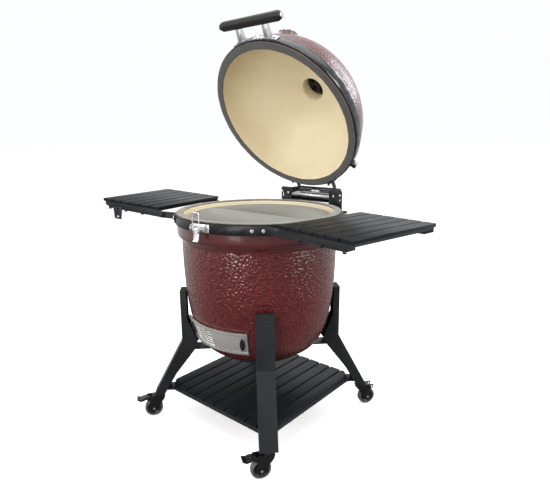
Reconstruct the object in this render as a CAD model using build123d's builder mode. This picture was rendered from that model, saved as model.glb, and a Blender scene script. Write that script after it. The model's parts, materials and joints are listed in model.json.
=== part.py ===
from build123d import *
import math
import os

# Kamado ceramic grill on a four-legged caster cart, lid open.
# Millimetres. +Z up, floor at z = 0, Z axis through the middle of the bowl.
# -Y is the front (latch, draft door), +Y the hinge side, +X the user's right.

# ------------------------------------------------------------ driving sizes
RIM_Z = 890.0          # height of the plane where the two gaskets meet
RIM_R = 326.0          # outer radius of the ceramic lips
RIM_IN = 298.0         # inner radius of the ceramic lips
GASKET = 4.0           # felt gasket thickness
BAND_R = 332.0         # outer radius of both steel bands
BAND_Z0, BAND_Z1 = 849.0, 884.5
BOWL_BASE_Z = 318.0    # underside of the ceramic bowl
HINGE_Y, HINGE_Z = 392.5, 927.0
LID_OPEN = 57.0        # degrees the lid stands open
DOME_A, DOME_B, DOME_Z = 325.0, 280.0, 908.0   # outer half-ellipse of the dome
CORE_A, CORE_B = 298.0, 251.0                  # inner half-ellipse of the dome
VENT_R = 50.0          # chimney hole radius
GRATE_Z = 867.0        # underside of the cooking grates
GRATE_R = 281.0
LEG_W = 68.0           # width of a leg across
LEG_T = 3.0            # sheet thickness of a leg
LEG_TOP_Z = 560.0
SHELF_PSI = 80.0       # direction of each side shelf, measured from the front
SHELF_IN, SHELF_L, SHELF_HALF = 355.0, 318.0, 201.5
SHELF_Z = 900.0        # top of the side shelves
SLAT_N, SLAT_GAP, SLAT_H = 6, 6.0, 12.0
LOW_SHELF = 281.0      # half side of the lower shelf
LOW_SHELF_Z = 148.0    # top of the lower shelf
WHEEL_R = 37.5
CASTER_XY = 311.0      # caster stem position along X and Y
CASTER_TRAIL = 30.0
FOOT_Z = 105.0         # underside of the leg feet
PIN_R, PIN_FIT = 6.0, 0.05

os.makedirs("parts", exist_ok=True)


def save(piece, label):
    piece.part.label = label
    export_step(piece.part, f"parts/{label}.step")


def radial_plane(angle):
    """Upright plane through the Z axis: local X is radial at this angle from +X, local Y is up."""
    a = math.radians(angle)
    return Plane(origin=(0, 0, 0), x_dir=(math.cos(a), math.sin(a), 0), z_dir=(math.sin(a), -math.cos(a), 0))


def around_hinge(angle):
    return Location((0, HINGE_Y, HINGE_Z)) * Location((0, 0, 0), (angle, 0, 0)) * Location((0, -HINGE_Y, -HINGE_Z))


LID_POSE = around_hinge(-LID_OPEN)


def placed(piece, where):
    with BuildPart() as out:
        with Locations(where):
            add(piece.part)
    return out


# ------------------------------------------------------------ ceramic bowl
BOWL_OUT = [(150, 318), (176, 320.5), (203, 327), (228, 342), (249, 367), (267, 403), (282, 450), (293, 509), (302, 581), (307, 671), (309, 770)]
BOWL_IN = [(298, 872), (290, 822), (282, 760), (279, 671), (274, 581), (265, 509), (254, 450), (240, 405), (222, 374), (196, 352), (170, 345)]
with BuildPart() as base_bowl:
    with BuildSketch(Plane.XZ):
        with BuildLine():
            Line((0, BOWL_BASE_Z), (150, BOWL_BASE_Z))
            Spline(BOWL_OUT, tangents=[(1, 0), (0, 1)])
            Line((309, 770), (309, 782))
            Spline([(309, 782), (317.5, 795), (RIM_R, 808)], tangents=[(0, 1), (0, 1)])
            Line((RIM_R, 808), (RIM_R, RIM_Z - GASKET))
            Line((RIM_R, RIM_Z - GASKET), (RIM_IN, RIM_Z - GASKET))
            Line((RIM_IN, RIM_Z - GASKET), (RIM_IN, 872))
            Spline(BOWL_IN, tangents=[(0, -1), (-1, 0)])
            Line((170, 345), (0, 345))
            Line((0, 345), (0, BOWL_BASE_Z))
        make_face()
    revolve(axis=Axis.Z)
    # draft opening through the front wall
    with BuildSketch(Plane.XZ.offset(200)):
        with Locations((0, 431)):
            RectangleRounded(222, 62, 10)
    extrude(amount=130, mode=Mode.SUBTRACT)
save(base_bowl, "base_bowl")

with BuildPart() as base_gasket:
    with BuildSketch(Plane.XY.offset(RIM_Z - GASKET)):
        Circle(RIM_R + 1)
        Circle(RIM_IN + 1, mode=Mode.SUBTRACT)
    extrude(amount=GASKET)
save(base_gasket, "base_gasket")

# ------------------------------------------------------------ fire box, fire ring, grates
with BuildPart() as fire_box:
    with BuildSketch(Plane.XZ):
        with BuildLine():
            Polyline((0, 345), (150, 345), (190, 352.5), (212, 374), (230, 404), (244, 450), (254, 509), (257, 600),
                     (234, 600), (232, 509), (222, 450), (211, 412), (211, 400), (182, 400), (182, 378), (170, 371), (0, 371), close=True)
        make_face()
    revolve(axis=Axis.Z)
    with BuildSketch(Plane.XZ.offset(180)):
        with Locations((0, 431)):
            RectangleRounded(206, 50, 8)
    extrude(amount=90, mode=Mode.SUBTRACT)
    with BuildSketch(Plane.XZ.offset(120)):
        with Locations((0, 389)):
            Rectangle(206, 22)
    extrude(amount=150, mode=Mode.SUBTRACT)
save(fire_box, "fire_box")

with BuildPart() as fire_ring:
    with BuildSketch(Plane.XZ):
        with BuildLine():
            Polyline((257, 600), (264, 640), (272, 780), (284, 845), (284, GRATE_Z), (262, GRATE_Z), (262, 845), (250, 785), (240, 640), (234, 600), close=True)
        make_face()
    revolve(axis=Axis.Z)
save(fire_ring, "fire_ring")

with BuildPart() as charcoal_grate:
    with BuildSketch(Plane.XY.offset(400)):
        Circle(205)
        for i in range(-6, 7):
            y = 28.0 * i
            half = math.sqrt(max(186.0 ** 2 - (abs(y) + 6) ** 2, 0)) - 4
            with Locations((half / 2 + 3, y), (-half / 2 - 3, y)):
                SlotOverall(half - 6, 12, mode=Mode.SUBTRACT)
    extrude(amount=9)
save(charcoal_grate, "charcoal_grate")


def half_grate(sign):
    """Half-moon cooking grate: flat rim, bars along Y, two cross bars."""
    pitch, bar = 10.0, 4.4
    with BuildPart() as grate:
        with BuildSketch(Plane.XY.offset(GRATE_Z)):
            Circle(GRATE_R)
            Circle(GRATE_R - 7, mode=Mode.SUBTRACT)
            Rectangle(2 * GRATE_R - 6, 16)
            for i in range(-27, 28):
                x = pitch * i
                length = math.sqrt((GRATE_R - 3) ** 2 - x * x)
                with Locations((x, sign * length / 2)):
                    Rectangle(bar, length)
            for y in (100.0, 190.0):
                with Locations((0, sign * y)):
                    Rectangle(2 * math.sqrt((GRATE_R - 3) ** 2 - y * y), 6)
            with Locations((0, -sign * (GRATE_R + 2) / 2 + sign * 1.5)):
                Rectangle(2 * GRATE_R + 10, GRATE_R + 2, mode=Mode.SUBTRACT)
        extrude(amount=6)
    return grate


cooking_grate_front = half_grate(-1)
save(cooking_grate_front, "cooking_grate_front")
cooking_grate_rear = half_grate(1)
save(cooking_grate_rear, "cooking_grate_rear")


# ------------------------------------------------------------ steel bands
CLAMP_ANGLE = 41.0     # where both band clamps sit, from +X


def band(z0, z1):
    with BuildPart() as ring:
        with BuildSketch(Plane.XY.offset(z0)):
            Circle(BAND_R)
            Circle(RIM_R + 0.3, mode=Mode.SUBTRACT)
        extrude(amount=z1 - z0)
        with Locations(Location((0, 0, (z0 + z1) / 2), (0, 0, CLAMP_ANGLE))):
            with Locations((RIM_R + 4, 0, 0)):
                Box(24, 6, z1 - z0 + 2, mode=Mode.SUBTRACT)
            with Locations((341, 5.25, 0), (341, -5.25, 0)):
                Box(24, 4.5, 26)
            with Locations(Location((346, 0, 0), (90, 0, 0))):
                Cylinder(4.05, 30, mode=Mode.SUBTRACT)
    return ring


def clamp_bolt(z):
    """Bolt, nut and washer of one band clamp, across the two ears."""
    with BuildPart() as bolt:
        with Locations(Location((0, 0, z), (0, 0, CLAMP_ANGLE))):
            with Locations(Location((346, 0, 0), (90, 0, 0))):
                Cylinder(4.0, 34)
            with Locations(Location((346, 10, 0), (90, 0, 0))):
                Cylinder(7.5, 5)
            with Locations(Location((346, -10.2, 0), (90, 0, 0))):
                Cylinder(7.0, 5.4)
    return bolt


lower_band = band(BAND_Z0, BAND_Z1)
save(lower_band, "lower_band")
upper_band = placed(band(898.0, 934.0), LID_POSE)
save(upper_band, "upper_band")


def stud(radius, angle, z, head_r=6.5, head=4.0, seat=BAND_R):
    """A domed bolt head on the face of a band."""
    a = math.radians(angle)
    with BuildPart(Plane(origin=(seat * math.cos(a), seat * math.sin(a), z), z_dir=(math.cos(a), math.sin(a), 0))) as out:
        Cylinder(head_r, head, align=(Align.CENTER, Align.CENTER, Align.MIN))
        fillet(out.edges().filter_by(GeomType.CIRCLE).sort_by(SortBy.DISTANCE)[-1:], head * 0.45)
    return out


# ------------------------------------------------------------ hinge
CHEEK_IN, CHEEK_OUT = 105.0, 110.0
with BuildPart() as hinge_base_bracket:
    with BuildSketch(Plane.XY.offset(850)):
        Circle(336.6)
        Circle(BAND_R + 0.3, mode=Mode.SUBTRACT)
        with Locations((0, -200)):
            Rectangle(800, 1020 - 4, mode=Mode.SUBTRACT)
    extrude(amount=34)
    for side in (-1, 1):
        with BuildSketch(Plane.YZ.offset(side * (CHEEK_IN + CHEEK_OUT) / 2)):
            with BuildLine():
                Polyline((315.2, 850), (315.2, 884), (340, 884), (340, 931), (352, 943), (424, 943), (432, 935), (432, 900), (372, 850), close=True)
            make_face()
        extrude(amount=(CHEEK_OUT - CHEEK_IN) / 2, both=True)
        with BuildSketch(Plane.XZ.offset(-345)):
            with Locations((side * 139, 899)):
                RectangleRounded(58, 88, 7)
            with Locations((side * 116, 899)):
                Rectangle(14, 88)
            with Locations((side * 158, 906)):
                SlotOverall(18, 7, rotation=90, mode=Mode.SUBTRACT)
        extrude(amount=-4.5)
    with Locations(Location((0, HINGE_Y, HINGE_Z), (0, 90, 0))):
        Cylinder(PIN_R + PIN_FIT, 260, mode=Mode.SUBTRACT)
    # rear tie and floor between the cheeks
    with Locations((0, 421, 917)):
        Box(2 * CHEEK_IN + 2, 5, 52)
    with Locations((0, 382, 889)):
        Box(2 * CHEEK_IN + 2, 76, 4)
save(hinge_base_bracket, "hinge_base_bracket")

with BuildPart() as hinge_pin:
    with Locations(Location((0, HINGE_Y, HINGE_Z), (0, 90, 0))):
        Cylinder(PIN_R, 2 * CHEEK_OUT + 0.4)
    for side in (-1, 1):
        with Locations(Location((side * (CHEEK_OUT + 3.2), HINGE_Y, HINGE_Z), (0, 90, 0))):
            Cylinder(10, 6)
save(hinge_pin, "hinge_pin")

with BuildPart() as hinge_spring_bar:
    with Locations(Location((0, 356.5, 911.5), (0, 90, 0))):
        Cylinder(15, 2 * CHEEK_IN)
        Cylinder(12, 2 * CHEEK_IN, mode=Mode.SUBTRACT)
save(hinge_spring_bar, "hinge_spring_bar")

with BuildPart() as hinge_springs:
    coil = [(6.6, 0.0)]
    n_coil, wire = 14, 5.0
    for i in range(n_coil):
        coil += [(9.4, i * wire), (11.4, i * wire + 1.2), (11.4, i * wire + wire - 1.2)]
    coil += [(9.4, n_coil * wire), (6.6, n_coil * wire)]
    for start in (-92.0, 22.0):
        with BuildSketch(Plane(origin=(start, HINGE_Y, HINGE_Z), x_dir=(0, 1, 0), z_dir=(0, 0, 1))):
            with BuildLine():
                Polyline(*[(r, -a) for r, a in coil], close=True)
            make_face()
        revolve(axis=Axis((0, HINGE_Y, HINGE_Z), (1, 0, 0)))
save(hinge_springs, "hinge_springs")

with BuildPart() as lid_bracket_shut:
    with BuildSketch(Plane.XY.offset(899)):
        Circle(336.6)
        Circle(BAND_R + 0.3, mode=Mode.SUBTRACT)
        with Locations((0, -209)):
            Rectangle(800, 1020 - 4, mode=Mode.SUBTRACT)
    extrude(amount=34)
    for side in (-1, 1):
        with BuildSketch(Plane.YZ.offset(side * 99.5)):
            with BuildLine():
                Polyline((318.5, 904), (336.5, 904), (339.5, 931), (376, 931), (384, 944), (372, 950), (330, 950), (318.5, 934), close=True)
            make_face()
            with Locations((HINGE_Y, HINGE_Z)):
                Circle(14)
            with BuildLine():
                Polyline((372, 931), (392, 918), (400, 938), (384, 946), close=True)
            make_face()
        extrude(amount=2.5, both=True)
    with Locations(Location((0, HINGE_Y, HINGE_Z), (0, 90, 0))):
        Cylinder(PIN_R + PIN_FIT, 260, mode=Mode.SUBTRACT)
hinge_lid_bracket = placed(lid_bracket_shut, LID_POSE)
save(hinge_lid_bracket, "hinge_lid_bracket")

# ------------------------------------------------------------ dome lid
def ellipse_points(a, b, z0, start, end, n):
    out = []
    for i in range(n):
        t = math.radians(start + (end - start) * i / (n - 1))
        out.append((a * math.cos(t), z0 + b * math.sin(t)))
    return out


T0 = math.degrees(math.asin((946 - DOME_Z) / DOME_B))
T1 = math.degrees(math.acos(64.0 / DOME_A))
U1 = math.degrees(math.acos(115.0 / CORE_A))
outer = ellipse_points(DOME_A, DOME_B, DOME_Z, T0, T1, 9)
inner = [(VENT_R, 1136.0), (64.0, 1140.5), (85.0, 1143.0)] + ellipse_points(CORE_A, CORE_B, DOME_Z, U1, 0.0, 8)
TH_Y, TH_Z = -247.0, 1090.0                      # where the thermometer axis meets the dome
TH = Plane(origin=(0, TH_Y, TH_Z), x_dir=(1, 0, 0), z_dir=(0, -0.7087, 0.7055))
VENT_TOP = 1204.0
with BuildPart() as dome_shut:
    with BuildSketch(Plane.XZ):
        with BuildLine():
            Line((RIM_IN, 894.6), (RIM_R, 894.6))
            Line((RIM_R, 894.6), (RIM_R, 938))
            Line((RIM_R, 938), outer[0])
            Spline(outer)
            Line(outer[-1], (64, VENT_TOP))
            Line((64, VENT_TOP), (VENT_R, VENT_TOP))
            Line((VENT_R, VENT_TOP), inner[0])
            Spline(inner)
            Line(inner[-1], (RIM_IN, 894.6))
        make_face()
    revolve(axis=Axis.Z)
    # raised boss for the thermometer, then its bore
    with BuildSketch(TH.offset(-10)):
        Circle(30)
    extrude(amount=18)
    with BuildSketch(TH.offset(-60)):
        Circle(8)
    extrude(amount=90, mode=Mode.SUBTRACT)
dome_lid = placed(dome_shut, LID_POSE)
save(dome_lid, "dome_lid")

with BuildPart() as lid_gasket_shut:
    with BuildSketch(Plane.XY.offset(RIM_Z + 0.6)):
        Circle(RIM_R + 1)
        Circle(RIM_IN + 1, mode=Mode.SUBTRACT)
    extrude(amount=GASKET)
lid_gasket = placed(lid_gasket_shut, LID_POSE)
save(lid_gasket, "lid_gasket")

# ------------------------------------------------------------ top vent
with BuildPart() as vent_base_shut:
    with BuildSketch(Plane.XZ):
        with BuildLine():
            Polyline((0, VENT_TOP - 20), (49.6, VENT_TOP - 20), (49.6, VENT_TOP), (69, VENT_TOP), (69, VENT_TOP - 14), (74, VENT_TOP - 14), (74, VENT_TOP + 5), (70, VENT_TOP + 9), (66, VENT_TOP + 9),
                     (64, VENT_TOP + 6), (0, VENT_TOP + 6), close=True)
        make_face()
    revolve(axis=Axis.Z)
    with PolarLocations(32, 5):
        with Locations((0, 0, VENT_TOP)):
            Cylinder(12.5, 60, mode=Mode.SUBTRACT)
    with Locations((0, 0, VENT_TOP)):
        Cylinder(4.05, 60, mode=Mode.SUBTRACT)
    # lug that the fingers turn against
    with Locations((0, -78, VENT_TOP - 3)):
        Box(26, 16, 8)
top_vent_base = placed(vent_base_shut, LID_POSE)
save(top_vent_base, "top_vent_base")

with BuildPart() as vent_cap_shut:
    with BuildSketch(Plane.XZ):
        with BuildLine():
            Polyline((0, VENT_TOP + 6.3), (62, VENT_TOP + 6.3), (62, VENT_TOP + 11), (56, VENT_TOP + 15), (30, VENT_TOP + 20), (12, VENT_TOP + 22),
                     (12, VENT_TOP + 27), (0, VENT_TOP + 27), close=True)
        make_face()
    revolve(axis=Axis.Z)
    with BuildSketch(Plane.XY.offset(VENT_TOP + 6.3)):
        with PolarLocations(32, 5, start_angle=36):
            Circle(12)
    extrude(amount=30, mode=Mode.SUBTRACT)
    with Locations((0, 0, VENT_TOP + 5)):
        Cylinder(4.0, 16)
    with Locations((-50, 0, VENT_TOP + 22)):
        Cylinder(5, 20)
    with Locations((-50, 0, VENT_TOP + 36)):
        Sphere(9)
top_vent_cap = placed(vent_cap_shut, LID_POSE)
save(top_vent_cap, "top_vent_cap")

# ------------------------------------------------------------ thermometer
with BuildPart(TH.offset(8.2)) as th_case_shut:
    Cylinder(33, 17, align=(Align.CENTER, Align.CENTER, Align.MIN))
    with Locations((0, 0, 11)):
        Cylinder(38, 8, align=(Align.CENTER, Align.CENTER, Align.MIN))
    fillet(th_case_shut.edges().filter_by(GeomType.CIRCLE).sort_by(SortBy.RADIUS)[-2:], 2.0)
    with Locations((0, 0, 9)):
        Cylinder(31, 30, align=(Align.CENTER, Align.CENTER, Align.MIN), mode=Mode.SUBTRACT)
    Cylinder(4, 12, align=(Align.CENTER, Align.CENTER, Align.MIN), mode=Mode.SUBTRACT)
thermometer_case = placed(th_case_shut, LID_POSE)
save(thermometer_case, "thermometer_case")

with BuildPart(TH.offset(8.2 + 9)) as th_dial_shut:
    Cylinder(30.8, 1.5, align=(Align.CENTER, Align.CENTER, Align.MIN))
    Cylinder(1.6, 1.5, align=(Align.CENTER, Align.CENTER, Align.MIN), mode=Mode.SUBTRACT)
thermometer_dial = placed(th_dial_shut, LID_POSE)
save(thermometer_dial, "thermometer_dial")

with BuildPart() as th_needle_shut:
    with BuildSketch(TH.offset(8.2 + 11)):
        Circle(3.2)
        with BuildLine():
            Polyline((-2.0, -7), (2.0, -7), (0.7, 25), (-0.7, 25), close=True)
        make_face()
    extrude(amount=1.2)
    with BuildSketch(TH.offset(8.2 + 9)):
        Circle(1.5)
    extrude(amount=2.5)
th_needle_turned = placed(th_needle_shut, Location(TH) * Location((0, 0, 0), (0, 0, 135)) * Location(TH).inverse())
thermometer_needle = placed(th_needle_turned, LID_POSE)
save(thermometer_needle, "thermometer_needle")

with BuildPart(TH.offset(8.2 + 14.5)) as th_glass_shut:
    Cylinder(30.8, 2, align=(Align.CENTER, Align.CENTER, Align.MIN))
thermometer_glass = placed(th_glass_shut, LID_POSE)
save(thermometer_glass, "thermometer_glass")

with BuildPart(TH.offset(-66)) as th_probe_shut:
    Cylinder(3.2, 80, align=(Align.CENTER, Align.CENTER, Align.MIN))
    with Locations((0, 0, 26)):
        Cylinder(7.2, 45, align=(Align.CENTER, Align.CENTER, Align.MIN))
thermometer_probe = placed(th_probe_shut, LID_POSE)
save(thermometer_probe, "thermometer_probe")

# ------------------------------------------------------------ lid handle and latch catch
LATCH_TURN = 4.0       # the latch sits this far round from the middle of the front, towards +X
LATCH_POSE = Location((0, 0, 0), (0, 0, LATCH_TURN))
GRIP_Y, GRIP_Z, GRIP_HALF, GRIP_D = -390.0, 924.0, 150.0, 34.0
with BuildPart() as arms_shut:
    for side in (-1, 1):
        with BuildSketch(Plane.YZ.offset(side * 65)):
            with BuildLine():
                Polyline((GRIP_Y + GRIP_D / 2, GRIP_Z - 10), (GRIP_Y + GRIP_D / 2, GRIP_Z + 9), (-326.0, 932), (-326.0, 905), (-333, 905), close=True)
            make_face()
        extrude(amount=9, both=True)
    for side in (-1, 1):
        with BuildSketch(Plane.XY.offset(902)):
            Circle(336.0)
            Circle(BAND_R + 0.3, mode=Mode.SUBTRACT)
            a0, a1 = (8.0, 18.5)
            with BuildLine():
                Polyline((0, 0), (side * 500 * math.sin(math.radians(a0)), -500 * math.cos(math.radians(a0))),
                         (side * 500 * math.sin(math.radians(a1)), -500 * math.cos(math.radians(a1))), close=True)
            make_face(mode=Mode.INTERSECT)
        extrude(amount=30)
    with BuildSketch(Plane.XY.offset(880)):
        Circle(BAND_R + 0.3)
    extrude(amount=80, mode=Mode.SUBTRACT)
handle_arms = placed(arms_shut, LID_POSE)
save(handle_arms, "handle_arms")

with BuildPart() as grip_shut:
    c, h = 9.0, GRIP_D / 2
    section = [(-h + c, -h), (h - c, -h), (h, -h + c), (h, h - c), (h - c, h), (-h + c, h), (-h, h - c), (-h, -h + c)]
    with BuildSketch(Plane(origin=(0, GRIP_Y, GRIP_Z), x_dir=(0, 1, 0), z_dir=(1, 0, 0))):
        with BuildLine():
            Polyline(*section, close=True)
        make_face()
    extrude(amount=GRIP_HALF - 14, both=True)
    for side in (-1, 1):
        with BuildSketch(Plane(origin=(side * (GRIP_HALF - 14), GRIP_Y, GRIP_Z), x_dir=(0, 1, 0), z_dir=(side, 0, 0))):
            with BuildLine():
                Polyline(*[(side * 1.0 * u, v) for u, v in section], close=True)
            make_face()
        with BuildSketch(Plane(origin=(side * GRIP_HALF, GRIP_Y, GRIP_Z), x_dir=(0, 1, 0), z_dir=(side, 0, 0))):
            with BuildLine():
                Polyline(*[(side * 0.62 * u, 0.62 * v) for u, v in section], close=True)
            make_face()
        loft()
handle_grip = placed(grip_shut, LID_POSE)
save(handle_grip, "handle_grip")

with BuildPart() as caps_shut:
    for side in (-1, 1):
        with Locations(Location((side * (GRIP_HALF + 2.5), GRIP_Y, GRIP_Z), (0, 90, 0))):
            Cylinder(9.5, 5)
    fillet(caps_shut.edges().filter_by(GeomType.CIRCLE).group_by(Axis.X)[0] + caps_shut.edges().filter_by(GeomType.CIRCLE).group_by(Axis.X)[-1], 1.8)
handle_end_caps = placed(caps_shut, LID_POSE)
save(handle_end_caps, "handle_end_caps")

with BuildPart() as catch_shut:
    with BuildSketch(Plane.XY.offset(900)):
        Circle(335.5)
        Circle(BAND_R + 0.3, mode=Mode.SUBTRACT)
        with Locations((0, 164)):
            Rectangle(800, 982, mode=Mode.SUBTRACT)
        with Locations((150 + 22, -330), (-150 - 22, -330)):
            Rectangle(300, 200, mode=Mode.SUBTRACT)
    extrude(amount=28)
    with BuildSketch(Plane.YZ):
        with BuildLine():
            Polyline((-333.5, 906), (-345.5, 910), (-346, 922), (-343, 922), (-342, 913), (-333.5, 911), close=True)
        make_face()
    extrude(amount=9, both=True)
latch_catch = placed(catch_shut, LID_POSE * LATCH_POSE)
save(latch_catch, "latch_catch")

with BuildPart() as upper_bolts_shut:
    add(clamp_bolt(916.0).part)
    for angle in (-90 - 15.6, -90 + 15.6):
        add(stud(0, angle, 917, seat=336.2).part)
    for angle in (90 - 20, 90 + 20):
        add(stud(0, angle, 916, seat=336.8).part)
    for angle in (-90 + LATCH_TURN - 2.6, -90 + LATCH_TURN + 2.6):
        add(stud(0, angle, 921, head_r=3.5, head=2.5, seat=335.7).part)
upper_band_bolts = placed(upper_bolts_shut, LID_POSE)
save(upper_band_bolts, "upper_band_bolts")

# ------------------------------------------------------------ front latch on the lower band
LATCH_Y, LATCH_Z = -347.0, 866.0
with BuildPart() as latch_bracket_ahead:
    with BuildSketch(Plane.XY.offset(852)):
        Circle(335.3)
        Circle(BAND_R + 0.3, mode=Mode.SUBTRACT)
        with Locations((0, 166)):
            Rectangle(800, 980, mode=Mode.SUBTRACT)
        with Locations((150 + 40, -330), (-150 - 40, -330)):
            Rectangle(300, 200, mode=Mode.SUBTRACT)
    extrude(amount=29)
    for side in (-1, 1):
        with BuildSketch(Plane.YZ.offset(side * 32)):
            with BuildLine():
                Polyline((-331.5, 854), (-331.5, 879), (-345, 879), (-352.5, 872), (-352.5, 860), (-345, 854), close=True)
            make_face()
        extrude(amount=1.5, both=True)
    with BuildSketch(Plane.XY.offset(840)):
        Circle(BAND_R + 0.3)
    extrude(amount=60, mode=Mode.SUBTRACT)
    with Locations(Location((0, LATCH_Y, LATCH_Z), (0, 90, 0))):
        Cylinder(2.5, 80, mode=Mode.SUBTRACT)
latch_bracket = placed(latch_bracket_ahead, LATCH_POSE)
save(latch_bracket, "latch_bracket")

LOOP_Y, LOOP_Z = LATCH_Y - 6.5, LATCH_Z - 9.0     # where the wire loop turns in the lever
with BuildPart() as latch_lever_ahead:
    with Locations(Location((0, LATCH_Y, LATCH_Z), (0, 90, 0))):
        Cylinder(2.45, 76)
        Cylinder(4.6, 25)
    with BuildSketch(Plane.YZ):
        with BuildLine():
            Polyline((LATCH_Y - 1.5, LATCH_Z), (LATCH_Y - 4.6, LATCH_Z), (LATCH_Y - 9.5, 828), (LATCH_Y - 13, 822), (LATCH_Y - 11, 820.5), (LATCH_Y - 6.5, 827), close=True)
        make_face()
    extrude(amount=12.4, both=True)
    # two ears that carry the loop
    for side in (-1, 1):
        with BuildSketch(Plane.YZ.offset(side * 10.9)):
            with BuildLine():
                Polyline((LATCH_Y - 1, LATCH_Z + 3), (LATCH_Y - 1, LATCH_Z - 8), (LATCH_Y - 4, LATCH_Z - 14), (LATCH_Y - 10.5, LATCH_Z - 14), (LATCH_Y - 11.5, LATCH_Z - 5), (LATCH_Y - 5.5, LATCH_Z + 3), close=True)
            make_face()
        extrude(amount=1.5, both=True)
    with Locations(Location((0, LOOP_Y, LOOP_Z), (0, 90, 0))):
        Cylinder(2.05, 60, mode=Mode.SUBTRACT)
latch_lever = placed(latch_lever_ahead, LATCH_POSE)
save(latch_lever, "latch_lever")

with BuildPart() as latch_loop_ahead:
    with Locations(Location((0, LOOP_Y, LOOP_Z), (0, 90, 0))):
        Cylinder(2.0, 35)
    for side in (-1, 1):
        with BuildSketch(Plane.XY.offset(LOOP_Z)):
            with Locations((side * 15.5, LOOP_Y)):
                Circle(2.0)
        extrude(amount=66)
    with Locations(Location((0, LOOP_Y, LOOP_Z + 66), (0, 90, 0))):
        Cylinder(2.0, 35)
latch_loop = placed(latch_loop_ahead, LATCH_POSE)
save(latch_loop, "latch_loop")

# ------------------------------------------------------------ draft door at the foot of the bowl
D0, D1 = 385.0, 477.0


def draft_r(z, off):
    return 264.6 + 0.290 * (z - D0) + off


def draft_shell(z0, z1, a, b, start, arc):
    """Conical strip between offsets a and b, from angle start (measured from the front) over arc degrees."""
    with BuildPart() as strip:
        with BuildSketch(radial_plane(-90 + start)):
            with BuildLine():
                Polyline((draft_r(z0, a), z0), (draft_r(z0, b), z0), (draft_r(z1, b), z1), (draft_r(z1, a), z1), close=True)
            make_face()
        revolve(axis=Axis.Z, revolution_arc=arc)
    return strip.part


TRACK = [(0.4, D0), (9.6, D0), (9.6, 397), (8.4, 397), (8.4, 391.5), (2.6, 391.5), (2.6, 470.5), (8.4, 470.5), (8.4, 465), (9.6, 465), (9.6, D1), (0.4, D1)]
with BuildPart() as draft_frame:
    # back plate with a rail and a lip above and below, in one section
    with BuildSketch(radial_plane(-90 - 32.5)):
        with BuildLine():
            Polyline(*[(draft_r(z, off), z) for off, z in TRACK], close=True)
        make_face()
    revolve(axis=Axis.Z, revolution_arc=65)
    # end stops
    add(draft_shell(388, 474, 1.5, 9.0, -32.2, 1.3))
    add(draft_shell(388, 474, 1.5, 9.0, 30.9, 1.3))
    # window behind the doors
    add(draft_shell(398, 464, -4, 6, -27.0, 54), mode=Mode.SUBTRACT)
save(draft_frame, "draft_frame")

with BuildPart() as draft_screen:
    add(draft_shell(392.0, 470.0, 3.0, 4.4, -30.4, 34.4))
    for row in range(6):
        z = 403 + row * 11.2
        for col in range(3):
            add(draft_shell(z, z + 5, 1, 8, -24.0 + col * 9.4, 7.4), mode=Mode.SUBTRACT)
save(draft_screen, "draft_screen")

with BuildPart() as draft_door:
    add(draft_shell(392.0, 470.0, 5.6, 7.4, 2.4, 28.0))
save(draft_door, "draft_door")


def draft_knob(angle, seat):
    """Oval knob standing on a draft door, upright."""
    a = math.radians(-90 + angle)
    r = draft_r(431, seat)
    slope = math.atan(0.290)
    n = Vector(math.cos(a) * math.cos(slope), math.sin(a) * math.cos(slope), -math.sin(slope))
    t = Vector(-math.sin(a), math.cos(a), 0)
    with BuildPart() as knob:
        with BuildSketch(Plane(origin=(r * math.cos(a) + n.X * 0.25, r * math.sin(a) + n.Y * 0.25, 431 + n.Z * 0.25), x_dir=t, z_dir=n)):
            Ellipse(8.5, 26)
        extrude(amount=9)
        fillet(knob.edges().group_by(Axis(origin=(0, 0, 0), direction=(n.X, n.Y, n.Z)))[-1], 2.5)
    return knob


draft_screen_knob = draft_knob(-27.4, 4.4)
save(draft_screen_knob, "draft_screen_knob")
draft_door_knob = draft_knob(28.4, 7.4)
save(draft_door_knob, "draft_door_knob")

# ------------------------------------------------------------ cart: legs, cradle, lower shelf
LEG_PROFILE = [(330, LEG_TOP_Z), (330, 349), (460, FOOT_Z), (417, FOOT_Z), (362, 200), (262, 331), (304.5, 440), (304.5, LEG_TOP_Z)]
LEG_POCKET = [(327, LEG_TOP_Z - 3), (327, 349.7), (456.5, FOOT_Z + 4), (405, FOOT_Z + 4), (355, 196), (254, 331), (290, 440), (290, LEG_TOP_Z - 3)]


with BuildPart() as one_leg:
    with BuildSketch(radial_plane(0)):
        with BuildLine():
            Polyline(*LEG_PROFILE, close=True)
        make_face()
    extrude(amount=LEG_W / 2, both=True)
    with BuildSketch(radial_plane(0)):
        with BuildLine():
            Polyline(*LEG_POCKET, close=True)
        make_face()
    extrude(amount=LEG_W / 2 - LEG_T, both=True, mode=Mode.SUBTRACT)
    with Locations((math.hypot(CASTER_XY, CASTER_XY), 0, FOOT_Z)):
        Cylinder(5.1, 30, mode=Mode.SUBTRACT)
with BuildPart() as legs:
    for angle in (45, 135, 225, 315):
        with Locations(Location((0, 0, 0), (0, 0, angle))):
            add(one_leg.part)
save(legs, "legs")

with BuildPart() as leg_caps:
    for angle in (45, 135, 225, 315):
        with Locations(Location((0, 0, 0), (0, 0, angle))):
            with Locations((317.2, 0, LEG_TOP_Z + 2)):
                Box(27, LEG_W + 1, 4)
    fillet(leg_caps.edges().group_by(Axis.Z)[-1], 1.5)
save(leg_caps, "leg_caps")

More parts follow.
